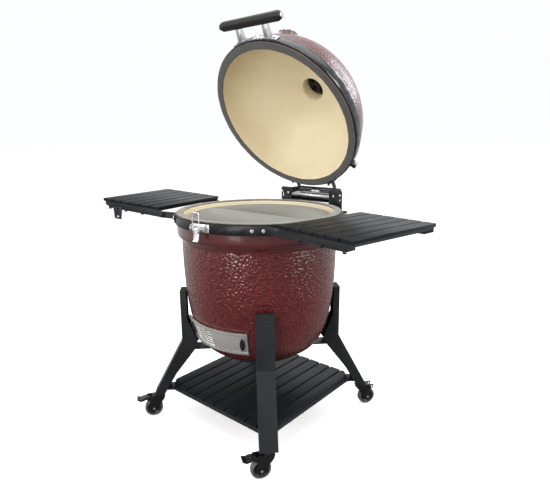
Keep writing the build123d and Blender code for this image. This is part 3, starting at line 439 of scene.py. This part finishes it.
def tube(name, pts, radius, body, mat, slot=None, nodes=(), cyclic=False, sides=10, place=MM):
    """A round wire along points in mm, as a mesh."""
    P = [Vector(p) for p in pts]
    n = len(P)
    verts, faces = [], []
    prev = None
    for i, p in enumerate(P):
        if cyclic:
            d = (P[(i + 1) % n] - P[i - 1]).normalized()
        else:
            d = (P[min(i + 1, n - 1)] - P[max(i - 1, 0)]).normalized()
        if prev is None:
            a = d.orthogonal().normalized()
        else:
            a = (prev - d * prev.dot(d)).normalized()
        prev = a
        b = d.cross(a)
        for k in range(sides):
            t = 2 * math.pi * k / sides
            verts.append(p + a * radius * math.cos(t) + b * radius * math.sin(t))
    last = n if cyclic else n - 1
    for i in range(last):
        i2 = (i + 1) % n
        off = 0
        if cyclic and i2 == 0:
            best = min(range(sides), key=lambda s: (verts[s] - verts[i * sides]).length)
            off = best
        for k in range(sides):
            faces.append([i * sides + k, i * sides + (k + 1) % sides, i2 * sides + (k + 1 + off) % sides, i2 * sides + (k + off) % sides])
    if not cyclic:
        faces.append(list(range(sides))[::-1])
        faces.append([(n - 1) * sides + k for k in range(sides)])
    o = mesh_obj(name, verts, faces, [mat], None, place)
    return give(o, body, slot, nodes)


def join_meshes(name, parts, body, slot=None, nodes=()):
    """Several mesh objects made into one piece."""
    for p in parts:
        p.select_set(False)
    mats, verts, faces, idx, sm = [], [], [], [], []
    for p in parts:
        base = len(verts)
        verts += [tuple(v.co) for v in p.data.vertices]
        remap = []
        for m in p.data.materials:
            if m not in mats:
                mats.append(m)
            remap.append(mats.index(m))
        for f in p.data.polygons:
            faces.append([base + v for v in f.vertices])
            idx.append(remap[f.material_index] if remap else 0)
            sm.append(f.use_smooth)
    me = bpy.data.meshes.new(name)
    me.from_pydata(verts, [], faces)
    for m in mats:
        me.materials.append(m)
    me.polygons.foreach_set("material_index", np.asarray(idx, dtype=np.int32))
    me.polygons.foreach_set("use_smooth", sm)
    o = bpy.data.objects.new(name, me)
    col.objects.link(o)
    for p in parts:
        bpy.data.objects.remove(p)
    return give(o, body, slot, nodes)


# ---------------------------------------------------------------- ceramic bowl
LOWER = [(150, 318), (176, 320.5), (203, 327), (228, 342), (249, 367), (267, 403), (282, 450), (293, 509), (302, 581), (307, 671), (309, 770), (309, 782)]
outer = catmull(LOWER, 150)
lip = catmull([(309, 782), (311.5, 789), (317.5, 796.5), (323.5, 803), (326, 811), (326.6, 825), (326.2, 845), (326, 868), (325.6, 880)], 28)[1:]
rim = [(325.0, 883.6), (323.0, 885.3), (320.0, 886.0), (303.5, 886.0), (300.5, 885.2), (298.6, 883.0), (298, 879)]
inner = catmull([(298, 872), (290, 822), (282, 760), (279, 671), (274, 581), (265, 509), (254, 450), (240, 405), (222, 374), (196, 352), (170, 345)], 70)
prof = [(0, 318.0)] + outer + lip + rim + inner + [(0, 345.0)]
s_len = np.concatenate([[0], np.cumsum(np.hypot(*np.diff(np.array(prof), axis=0).T))])
N = 560
fade_pts = np.ones(len(prof))
for i, (r, z) in enumerate(prof):
    on_outer = 1 <= i <= len(outer)
    fade_pts[i] = 0.0 if not on_outer else min(1.0, max(0.0, (z - 319) / 14)) * min(1.0, max(0.0, (778 - z) / 6))


def bowl_shape(th, P):
    d = dimples(th, s_len, 300.0)
    amp = 0.9 * fade_pts[:, None] * (d - 0.1)
    T = np.gradient(P, axis=0)
    L = np.hypot(T[:, 0], T[:, 1]) + 1e-9
    nr, nz = T[:, 1] / L, -T[:, 0] / L
    # slow unevenness of hand-finished glaze
    slow = 0.35 * np.sin(3 * th + 0.7)[None, :] * fade_pts[:, None]
    return (amp + slow) * nr[:, None], (amp + slow) * nz[:, None]


k_out = 1 + len(outer)
k_lip = k_out + len(lip) + len(rim)
index = [0] * (k_out - 1) + [1] * (len(lip) + len(rim) - 2) + [2] * (len(prof) - k_out + 1 - len(lip) - len(rim) + 2)
index = (index + [2] * len(prof))[:len(prof)]
bowl = lathe("ceramic_bowl", prof, N, [M_GLAZE, M_LIP, M_CREAM], index, closed=False, shape=bowl_shape)
# draft opening: cut through with a rounded block
cut_b = bmesh.new()
bmesh.ops.create_cube(cut_b, size=1.0)
bmesh.ops.scale(cut_b, vec=(0.222, 0.130, 0.062), verts=cut_b.verts)
bmesh.ops.translate(cut_b, vec=(0, -0.265, 0.431), verts=cut_b.verts)
bmesh.ops.bevel(cut_b, geom=[e for e in cut_b.edges if abs(e.verts[0].co.y - e.verts[1].co.y) > 0.05], offset=0.010, segments=4, affect="EDGES", profile=0.5)
cm = bpy.data.meshes.new("cutter")
cut_b.to_mesh(cm)
cut_b.free()
cm.materials.append(M_CREAM)
cutter = bpy.data.objects.new("cutter", cm)
col.objects.link(cutter)
bo = bowl.modifiers.new("draft", "BOOLEAN")
bo.object = cutter
bo.operation = "DIFFERENCE"
bo.solver = "FAST"
dg = bpy.context.evaluated_depsgraph_get()
cut_mesh = bpy.data.meshes.new_from_object(bowl.evaluated_get(dg))
old = bowl.data
bowl.modifiers.clear()
bowl.data = cut_mesh
bpy.data.objects.remove(cutter)
give(bowl, "cart", nodes=("base_bowl",))

# felt gaskets, with a soft uneven section
def gasket(name, z0, z1, node, body, mat, place):
    sec = rounded([(298.6, z0), (327.2, z0), (327.2, z1), (298.6, z1)], 2.0, 4)
    def wob(th, P):
        k = 0.45 * np.sin(th * 23 + 1.0) + 0.35 * np.sin(th * 57 + 2.0) + 0.25 * np.sin(th * 131)
        w = (np.abs(P[:, 0] - 312.9) / 14.3)[:, None] ** 2
        return k[None, :] * w, 0 * w * k[None, :]
    o = lathe(name, sec, 360, [mat], place=place, shape=wob)
    return give(o, body, nodes=(node,))


gasket("bowl_gasket", 886.05, 890.0, "base_gasket", "cart", M_FELT_BASE, MM)
gasket("dome_gasket", 890.6, 894.6, "lid_gasket", "lid", M_FELT_LID, OPEN_M)

# fire ring, cream ceramic with worn round edges
ring_sec = rounded([(257, 600), (264, 640), (272, 780), (284, 845), (284, 867), (262, 867), (262, 845), (250, 785), (240, 640), (234, 600)], [2, 8, 8, 6, 4, 4, 6, 8, 8, 2], 4)
give(lathe("clay_ring", ring_sec, 240, [M_CLAY]), "cart", nodes=("fire_ring",))

# ---------------------------------------------------------------- cooking grates: round wire
def wire_grate(name, sign, node):
    parts = []
    z = 869.6
    R = 277.5
    pitch = 10.0
    k = int((R - 4) // pitch)
    for i in range(-k, k + 1):
        x = pitch * i
        y1 = math.sqrt(R * R - x * x)
        y0 = 4.6
        pts = [(x, sign * y0, z), (x, sign * (y0 + y1) / 2, z), (x, sign * y1, z)]
        P = [Vector(p) for p in pts]
        verts, faces = [], []
        for p in P:
            for s in range(8):
                t = math.pi / 8 + 2 * math.pi * s / 8
                verts.append(p + Vector((2.2 * math.cos(t), 0, 2.2 * math.sin(t))))
        for a in range(2):
            for s in range(8):
                faces.append([a * 8 + s, a * 8 + (s + 1) % 8, (a + 1) * 8 + (s + 1) % 8, (a + 1) * 8 + s])
        faces.append(list(range(8)))
        faces.append([16 + s for s in range(8)][::-1])
        parts.append((verts, faces))
    V, F = [], []
    for verts, faces in parts:
        b = len(V)
        V += verts
        F += [[b + v for v in f] for f in faces]
    o1 = mesh_obj(name + "_bars", V, F, [M_WIRE])
    rim_pts = [(R * math.sin(t), sign * R * math.cos(t), z - 0.4) for t in np.linspace(-math.pi / 2 + 0.016, math.pi / 2 - 0.016, 90)]
    closed_rim = rim_pts + [(x, sign * 4.4, z - 0.4) for x in np.linspace(R - 4, -R + 4, 30)]
    o2 = tube(name + "_rim", closed_rim, 3.1, "cart", M_WIRE, cyclic=True)
    cross = []
    for y in (100.0, 190.0):
        half = math.sqrt(R * R - y * y)
        cross.append(tube(name + f"_cross{int(y)}", [(-half, sign * y, z - 4.0), (0, sign * y, z - 4.0), (half, sign * y, z - 4.0)], 2.6, "cart", M_WIRE))
    objs = [o1, o2] + cross
    return join_meshes(name, objs, "cart", nodes=(node,))


wire_grate("wire_grate_front", -1, "cooking_grate_front")
wire_grate("wire_grate_rear", 1, "cooking_grate_rear")

# ---------------------------------------------------------------- ceramic dome
def ell(a, b, z0, t0, t1, n):
    return [(a * math.cos(math.radians(t)), z0 + b * math.sin(math.radians(t))) for t in np.linspace(t0, t1, n)]


T0 = math.degrees(math.asin(38 / 280))
T1 = math.degrees(math.acos(66 / 325))
U1 = math.degrees(math.acos(115 / 298))
d_lip = [(298.6, 896.2), (300.6, 894.9), (303.0, 894.6), (322.5, 894.6), (325.0, 895.3), (326.0, 897.4), (326.2, 915), (326.2, 934), (325.6, 938.6), (324.0, 942.0)]
d_out = ell(325, 280, 908, T0 + 0.4, T1, 130)
d_neck = [(64.4, 1185.0), (63.2, 1189.5), (62.6, 1195), (62.2, 1203.9), (50.6, 1203.9), (50.0, 1202), (50.0, 1170), (50.0, 1140.5), (50.7, 1137.6), (52.6, 1136.4)]
d_in = catmull([(58, 1137.9), (64, 1140.3), (85, 1142.6)] + ell(298, 251, 908, U1, 0.0, 16), 72) + [(298, 903)]
dprof = d_lip + d_out + d_neck + d_in
ds = np.concatenate([[0], np.cumsum(np.hypot(*np.diff(np.array(dprof), axis=0).T))])
dfade = np.zeros(len(dprof))
for i in range(len(d_lip), len(d_lip) + len(d_out)):
    z = dprof[i][1]
    dfade[i] = min(1.0, max(0.0, (z - 952) / 8)) * min(1.0, max(0.0, (1180 - z) / 8))


def dome_shape(th, P):
    d = dimples(th, ds, 290.0, seed=11)
    T = np.gradient(P, axis=0)
    L = np.hypot(T[:, 0], T[:, 1]) + 1e-9
    nr, nz = T[:, 1] / L, -T[:, 0] / L
    amp = 0.45 * dfade[:, None] * (d - 0.1)
    return amp * nr[:, None], amp * nz[:, None]


dindex = [1] * (len(d_lip)) + [0] * len(d_out) + [1] * 3 + [2] * (len(dprof))
dindex = dindex[:len(dprof)]
dindex[0] = 2
dome = lathe("ceramic_dome", dprof, N, [M_GLAZE, M_LIP, M_CREAM], dindex, place=OPEN_M, closed=True, shape=dome_shape)
give(dome, "lid", nodes=("dome_lid",))

# thermometer frame in the shut lid, then opened with it
TH_S = Vector((0, -247, 1090))
TH_N = Vector((0, -0.7087, 0.7055)).normalized()
TH_X = Vector((1, 0, 0))
TH_Y = TH_N.cross(TH_X)
TH_M = OPEN_M @ Matrix(((TH_X.x, TH_Y.x, TH_N.x, TH_S.x), (TH_X.y, TH_Y.y, TH_N.y, TH_S.y), (TH_X.z, TH_Y.z, TH_N.z, TH_S.z), (0, 0, 0, 1)))
give(lathe("dome_boss", [(8.4, -8), (34, -8), (33, 0.5), (31.5, 5), (29, 7.6), (26, 8.1), (8.4, 8.1)], 96, [M_LIP], place=TH_M), "lid", "red_glaze")
case = [(4.2, 8.3), (31, 8.3), (33, 9.5), (33.2, 18.0), (36.0, 19.2), (38.0, 20.6), (38.2, 23.6), (37.0, 25.8), (34.6, 27.2), (32.4, 26.8), (31.2, 25.0), (31.0, 17.3), (4.2, 17.3)]
give(lathe("gauge_case", case, 96, [M_BRIGHT], place=TH_M), "lid", nodes=("thermometer_case",))
give(lathe("gauge_dial", rounded([(1.8, 17.3), (30.8, 17.3), (30.8, 18.7), (1.8, 18.7)], 0.3, 2), 96, [M_DIAL], place=TH_M), "lid", nodes=("thermometer_dial",))
ticks_v, ticks_f = [], []
for i in range(41):
    a = math.radians(225 - 270 * i / 40)
    long = i % 5 == 0
    r0, r1, w = (23.0 if long else 25.5), 28.5, (0.55 if long else 0.28)
    c, s = math.cos(a), math.sin(a)
    b = len(ticks_v)
    for z in (18.7, 18.95):
        for r, ww in ((r0, -w), (r1, -w), (r1, w), (r0, w)):
            ticks_v.append((r * c - ww * s, r * s + ww * c, z))
    ticks_f += [[b, b + 3, b + 2, b + 1], [b + 4, b + 5, b + 6, b + 7]] + [[b + k, b + (k + 1) % 4, b + 4 + (k + 1) % 4, b + 4 + k] for k in range(4)]
give(mesh_obj("gauge_ticks", ticks_v, ticks_f, [M_INK], None, TH_M, False), "lid", "dial_white")
for i, label in enumerate(("50", "100", "150", "200", "250", "300", "350", "400")):
    a = math.radians(225 - 270 * (i + 0.5) / 8)
    cu = bpy.data.curves.new(f"gauge_number_{i}", "FONT")
    cu.body = label
    cu.size = 5.2
    cu.extrude = 0.1
    cu.align_x = "CENTER"
    cu.align_y = "CENTER"
    t = bpy.data.objects.new(f"gauge_number_{i}", cu)
    me = bpy.data.meshes.new_from_object(t)
    me.transform(Matrix.Translation((19.0 * math.cos(a), 19.0 * math.sin(a), 18.85)))
    me.transform(TH_M)
    me.materials.clear()
    me.materials.append(M_INK)
    bpy.data.objects.remove(t)
    o = bpy.data.objects.new(f"gauge_number_{i}", me)
    col.objects.link(o)
    give(o, "lid", "dial_white")

# lens, slightly domed
give(lathe("gauge_lens", [(0, 22.6), (30.7, 22.6), (30.9, 23.4), (24, 24.6), (14, 25.2), (0, 25.4)], 72, [M_GLASS], place=TH_M, closed=False), "lid", nodes=("thermometer_glass",))

# ---------------------------------------------------------------- bands
bevelled("lower_band", M_BAND_LOW, 0.9, 40)
bevelled("upper_band", M_BAND, 0.9, 40)
for node, mat, w, ang in (
    ("lower_band_bolts", M_BRIGHT, 0.5, 30), ("upper_band_bolts", M_BRIGHT, 0.5, 30),
    ("hinge_base_bracket", M_POWDER, 1.0, 28), ("hinge_lid_bracket", M_POWDER, 0.9, 28),
    ("hinge_pin", M_BRIGHT, 0.8, 30), ("hinge_spring_bar", M_STEEL_X, 0.8, 40),
    ("latch_bracket", M_BRIGHT, 0.5, 28), ("latch_lever", M_BRIGHT, 0.5, 28), ("latch_catch", M_BRIGHT, 0.5, 28),
    ("draft_frame", M_STEEL, 0.35, 35), ("draft_screen", M_STEEL, 0.25, 35), ("draft_door", M_STEEL, 0.35, 35),
    ("draft_screen_knob", M_GRIP, 0.6, 30), ("draft_door_knob", M_GRIP, 0.6, 30),
    ("fire_box", M_CLAY, 2.0, 30), ("charcoal_grate", M_IRON, 1.2, 30),
    ("bowl_cradle", M_POWDER, 1.2, 28), ("bowl_pads", M_RUBBER, 0.8, 30),
    ("legs", M_POWDER, 1.6, 14), ("leg_caps", M_RUBBER, 0.8, 28),
    ("lower_shelf_frame", M_POWDER, 1.0, 28), ("lower_shelf_slats", M_POWDER_SLAT, 0.6, 28),
    ("caster_top_plates", M_CASTER, 0.8, 30), ("shelf_brackets", M_POWDER, 0.7, 28),
    ("handle_arms", M_ALU, 0.9, 28), ("handle_end_caps", M_BRIGHT, 0.3, 30), ("handle_grip", M_GRIP, 2.4, 20),
    ("thermometer_probe", M_STEEL, 0.4, 30), ("thermometer_needle", M_RED, 0.12, 30),
    ("top_vent_base", M_VENT, 0.9, 28), ("top_vent_cap", M_VENT, 0.9, 28),
    ("right_shelf_frame", M_POWDER, 0.7, 28), ("right_shelf_slats", M_POWDER_SLAT, 0.5, 28),
    ("left_shelf_frame", M_POWDER, 0.7, 28), ("left_shelf_slats", M_POWDER_SLAT, 0.5, 28), ("bottle_opener", M_POWDER, 0.5, 28),
):
    bevelled(node, mat, w, ang, 3 if w >= 1.5 else 2)

# ---------------------------------------------------------------- latch loop: one bent wire
def bent(points, radius, steps=5):
    out = []
    n = len(points)
    for i in range(n):
        p, a, b = Vector(points[i]), Vector(points[i - 1]), Vector(points[(i + 1) % n])
        k = min(radius, (a - p).length * 0.45, (b - p).length * 0.45)
        pa, pb = p + (a - p).normalized() * k, p + (b - p).normalized() * k
        for s in range(steps + 1):
            t = s / steps
            out.append((1 - t) ** 2 * pa + 2 * t * (1 - t) * p + t * t * pb)
    return out


LY, LZ = -353.5, 857.0
tube("wire_loop", bent([(-15.5, LY, LZ), (15.5, LY, LZ), (15.5, LY, LZ + 66), (-15.5, LY, LZ + 66)], 4.5), 2.0, "latch_loop", M_BRIGHT, nodes=("latch_loop",), cyclic=True, sides=12, place=MM @ Matrix.Rotation(math.radians(4.0), 4, "Z"))

# ---------------------------------------------------------------- hinge springs: real coils
coil_objs = []
for start in (-92.0, 22.0):
    turns, length = 15, 69.0
    pts = []
    for i in range(turns * 16 + 1):
        a = 2 * math.pi * i / 16
        pts.append((start + 1.5 + (length - 3) * i / (turns * 16), HY + 9.2 * math.cos(a), HZ + 9.2 * math.sin(a)))
    coil_objs.append(tube(f"coil_{int(start)}", pts, 2.0, "cart", M_SPRING, sides=8))
join_meshes("spring_coils", coil_objs, "cart", nodes=("hinge_springs",))

# ---------------------------------------------------------------- casters
for tag in ("fl", "fr", "rl", "rr"):
    j = JOINT[f"caster_roll_{tag}"]
    ax = Vector(j["axis"]).normalized()
    ctr = Vector(j["pos_m"]) * 1000
    zx = Vector((0, 0, 1))
    xx = zx.cross(ax).normalized() if abs(ax.z) < 0.9 else Vector((1, 0, 0))
    W = MM @ Matrix(((xx.x, zx.x, ax.x, ctr.x), (xx.y, zx.y, ax.y, ctr.y), (xx.z, zx.z, ax.z, ctr.z), (0, 0, 0, 1)))
    tread = rounded([(29, -11.6), (35.4, -11.6), (37.5, -7.0), (37.5, 7.0), (35.4, 11.6), (29, 11.6)], [0.5, 2.5, 3, 3, 2.5, 0.5], 4)
    o1 = lathe("tread", tread, 96, [M_TREAD], place=W)
    hub = [(5.1, -12.9), (9, -12.9), (10.5, -11.5), (11, -8.2), (23, -7.6), (25.5, -10.8), (28, -11.8), (29.4, -11.0), (29.4, 11.0), (28, 11.8), (25.5, 10.8), (23, 7.6), (11, 8.2), (10.5, 11.5), (9, 12.9), (5.1, 12.9)]
    o2 = lathe("hub", hub, 96, [M_CASTER], place=W)
    ribs_v, ribs_f = [], []
    for side in (-1, 1):
        for i in range(5):
            a = 2 * math.pi * i / 5
            c, s = math.cos(a), math.sin(a)
            b = len(ribs_v)
            for z in (7.2 * side, 10.4 * side):
                for r, w in ((10.0, -2.2), (25.0, -1.6), (25.0, 1.6), (10.0, 2.2)):
                    ribs_v.append((r * c - w * s, r * s + w * c, z))
            ribs_f += [[b, b + 3, b + 2, b + 1], [b + 4, b + 5, b + 6, b + 7]] + [[b + k, b + (k + 1) % 4, b + 4 + (k + 1) % 4, b + 4 + k] for k in range(4)]
    o3 = mesh_obj("ribs", ribs_v, ribs_f, [M_CASTER], None, W, False)
    join_meshes(f"wheel_{tag}", [o1, o2, o3], f"caster_wheel_{tag}", nodes=(f"caster_wheel_{tag}",))
    bevelled(f"caster_fork_{tag}", M_CASTER, 0.9, 28)
    # bright axle nuts on both sides of the fork
    for k, side in enumerate((-1, 1)):
        nut = [(0, side * 21.6), (4.0, side * 21.6), (6.4, side * 21.0), (7.3, side * 19.6), (7.3, side * 17.4)]
        pr = nut
        give(lathe(f"axle_nut_{tag}_{k}", pr, 24, [M_BRIGHT], place=W, closed=False), f"caster_fork_{tag}", "bolt_steel")
    if tag in ("fl", "fr"):
        bevelled(f"caster_brake_{tag}", M_CASTER, 1.2, 28)

# ---------------------------------------------------------------- floor and light
floor_m = Mat("studio_floor", Roughness=0.9, Specular_IOR_Level=0.1, Emission_Strength=0.42)
floor_m.b.inputs["Emission Color"].default_value = (1.0, 0.99, 0.995, 1)
floor_m.color(floor_m.ramp(floor_m.noise(0.6, 2.0), [(0.0, srgb("#f6f5f5")), (1.0, srgb("#faf9f9"))]))
bm = bmesh.new()
bmesh.ops.create_grid(bm, x_segments=8, y_segments=8, size=60.0)
fm = bpy.data.meshes.new("studio_floor")
bm.to_mesh(fm)
bm.free()
fm.materials.append(floor_m.m)
floor = bpy.data.objects.new("studio_floor", fm)
floor.location = (0, 0, -0.0005)
floor.visible_diffuse = False
floor.visible_glossy = False
col.objects.link(floor)

WORLD_FRONT = 0.50
# white behind the object, dimmer in front of it, dark below the horizon
world = bpy.data.worlds.new("studio")
bpy.context.scene.world = world
world.use_nodes = True
wt = world.node_tree
bg = wt.nodes["Background"]
bg.inputs["Color"].default_value = (0.985, 0.99, 1.0, 1)
wc = wt.nodes.new("ShaderNodeTexCoord")
dot = wt.nodes.new("ShaderNodeVectorMath")
dot.operation = "DOT_PRODUCT"
dot.inputs[1].default_value = (-0.649, 0.761, 0.0)
sep = wt.nodes.new("ShaderNodeSeparateXYZ")
rng_a = wt.nodes.new("ShaderNodeMapRange")
rng_b = wt.nodes.new("ShaderNodeMapRange")
mul = wt.nodes.new("ShaderNodeMath")
mul.operation = "MULTIPLY"
for node, values in ((rng_a, (-0.55, 0.45, WORLD_FRONT, 1.0)), (rng_b, (-0.45, -0.10, 0.34, 1.0))):
    for k, v in zip(("From Min", "From Max", "To Min", "To Max"), values):
        node.inputs[k].default_value = v
wt.links.new(wc.outputs["Generated"], dot.inputs[0])
wt.links.new(wc.outputs["Generated"], sep.inputs[0])
wt.links.new(dot.outputs["Value"], rng_a.inputs["Value"])
wt.links.new(sep.outputs["Z"], rng_b.inputs["Value"])
wt.links.new(rng_a.outputs["Result"], mul.inputs[0])
wt.links.new(rng_b.outputs["Result"], mul.inputs[1])
wt.links.new(mul.outputs["Value"], bg.inputs["Strength"])
bpy.context.scene.view_settings.view_transform = "Standard"


def area(name, loc, target, size, power, color=(1, 1, 1), size_y=None):
    d = bpy.data.lights.new(name, "AREA")
    d.shape = "RECTANGLE"
    d.size = size
    d.size_y = size_y or size
    d.energy = power
    d.color = color
    o = bpy.data.objects.new(name, d)
    col.objects.link(o)
    o.location = loc
    o.rotation_euler = (Vector(target) - Vector(loc)).to_track_quat("-Z", "Y").to_euler()
    return o


area("key_right", (3.0, 0.5, 1.7), (0, 0, 0.8), 0.9, 60, (1.0, 0.99, 0.98), 2.4)
area("top_soft", (0.0, -0.3, 3.6), (0, 0, 0.8), 3.6, 62)
area("front_left", (-2.2, -3.0, 1.7), (0, 0, 0.7), 1.4, 26)
area("front_high", (1.3, -3.2, 2.6), (0, 0.25, 1.2), 1.1, 24, (1.0, 0.98, 0.95))
area("front_low", (0.5, -2.5, 0.95), (0, 0.2, 1.45), 0.7, 23, (1.0, 0.98, 0.95))
area("back_rim", (0.8, 3.0, 2.8), (0, 0.4, 1.3), 1.0, 30, (0.88, 0.94, 1.0), 1.8)
